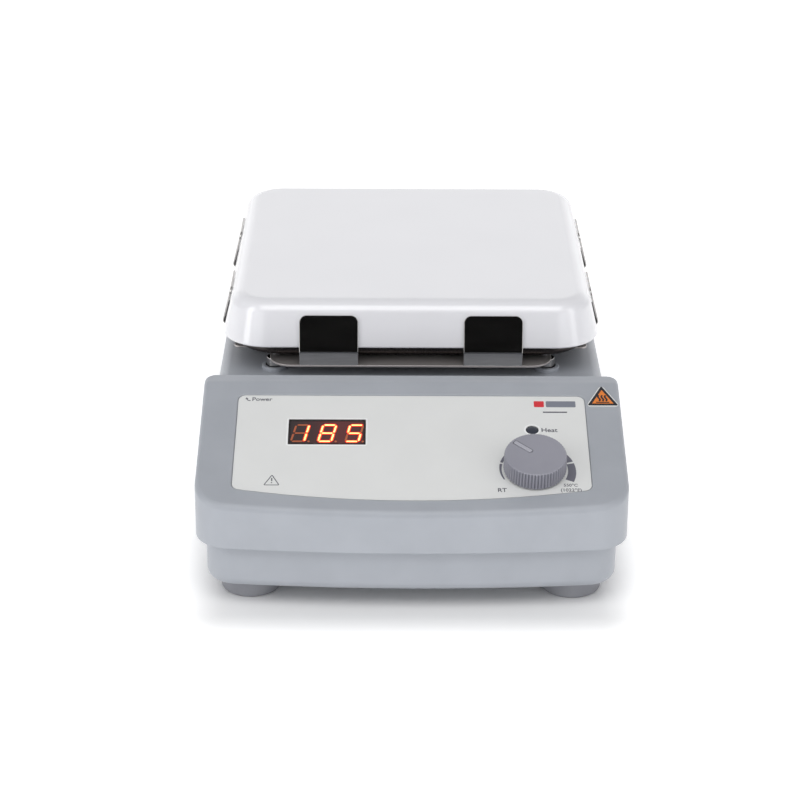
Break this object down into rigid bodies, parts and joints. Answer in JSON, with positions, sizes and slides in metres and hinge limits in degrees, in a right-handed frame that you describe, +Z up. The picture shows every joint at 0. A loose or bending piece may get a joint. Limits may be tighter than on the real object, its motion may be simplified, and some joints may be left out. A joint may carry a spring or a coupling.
{
  "type": "laboratory hot plate",
  "caption": "Laboratory hot plate: square white ceramic plate on a clipped steel frame over a grey casing with a sloped console, display and ribbed temperature knob.",
  "frame": {"origin": "on the table under the middle of the outline, at the foot bottoms", "axes": "+Z up, front (console) towards -Y, +X to the right as seen from the front"},
  "size_m": [0.215, 0.36, 0.112],
  "materials": {
    "grey_paint": "satin textured paint",
    "white_ceramic": "gloss white coating",
    "stainless": "mirror polished stainless steel",
    "steel": "satin",
    "rubber": "matt",
    "label_film": "printed film",
    "red_filter": "dark red window",
    "led_plastic": "moulded",
    "lamp_lens": "smoked lens",
    "knob_plastic": "satin moulded",
    "pointer_plastic": "satin moulded",
    "sticker_film": "printed film",
    "circuit_board": "solder mask",
    "black_plastic": "moulded",
    "brass": "machined",
    "aluminium": "extruded",
    "fibre_pad": "pressed fibre",
    "terminal_ceramic": "bisque",
    "heater_alloy": "oxidised",
    "wire_sleeve": "braided",
    "fuse_glass": "clear"
  },
  "bodies": {
    "casing": {"upper_housing": "grey_paint", "base_pan": "grey_paint", "work_plate": "white_ceramic", "heating_element": "heater_alloy", "insulation_pad": "fibre_pad", "heater_pan": "stainless", "clip_frame": "stainless", "temperature_sensor": "steel", "safety_sensor": "steel", "front_label": "label_film", "display_window": "red_filter", "display_module": "led_plastic", "heat_indicator": "lamp_lens", "potentiometer": "aluminium", "potentiometer_nut": "brass", "hot_surface_sticker": "sticker_film", "control_board": "circuit_board", "switch_body": "black_plastic", "inlet_body": "black_plastic", "inlet_pin_live": "steel", "inlet_pin_neutral": "steel", "inlet_pin_earth": "steel", "inlet_screw_left": "steel", "inlet_screw_right": "steel", "power_board": "circuit_board", "control_transformer": "black_plastic", "heat_sink": "aluminium", "triac": "black_plastic", "terminal_block": "terminal_ceramic", "lead_grommet": "rubber", "heater_leads": "wire_sleeve", "mains_harness": "wire_sleeve", "control_cable": "black_plastic", "foot_front_left": "rubber", "foot_screw_front_left": "steel", "case_screw_front_left": "steel", "post_front_left": "stainless", "post_screw_front_left": "steel", "foot_front_right": "rubber", "foot_screw_front_right": "steel", "case_screw_front_right": "steel", "post_front_right": "stainless", "post_screw_front_right": "steel", "foot_rear_left": "rubber", "foot_screw_rear_left": "steel", "case_screw_rear_left": "steel", "post_rear_left": "stainless", "post_screw_rear_left": "steel", "foot_rear_right": "rubber", "foot_screw_rear_right": "steel", "case_screw_rear_right": "steel", "post_rear_right": "stainless", "post_screw_rear_right": "steel"},
    "knob": {"knob": "knob_plastic", "knob_pointer": "pointer_plastic", "potentiometer_shaft": "steel"},
    "rocker": {"power_rocker": "black_plastic"},
    "fuse_drawer": {"fuse_drawer": "black_plastic", "fuse": "fuse_glass"}
  },
  "joints": [
    {"name": "temperature_knob_turn", "type": "hinge", "parent": "casing", "child": "knob", "pos_m": [0.0612, -0.15048, 0.07191], "axis": [0, 0.2924, -0.9563], "range_deg": [-66.5, 163.5]},
    {"name": "power_rocker_tilt", "type": "hinge", "parent": "casing", "child": "rocker", "pos_m": [-0.1021, -0.118, 0.054], "axis": [0, -1, 0], "range_deg": [0, 18]},
    {"name": "fuse_drawer_slide", "type": "slide", "parent": "casing", "child": "fuse_drawer", "axis": [0, 1, 0], "range_m": [0, 0.022]}
  ]
}
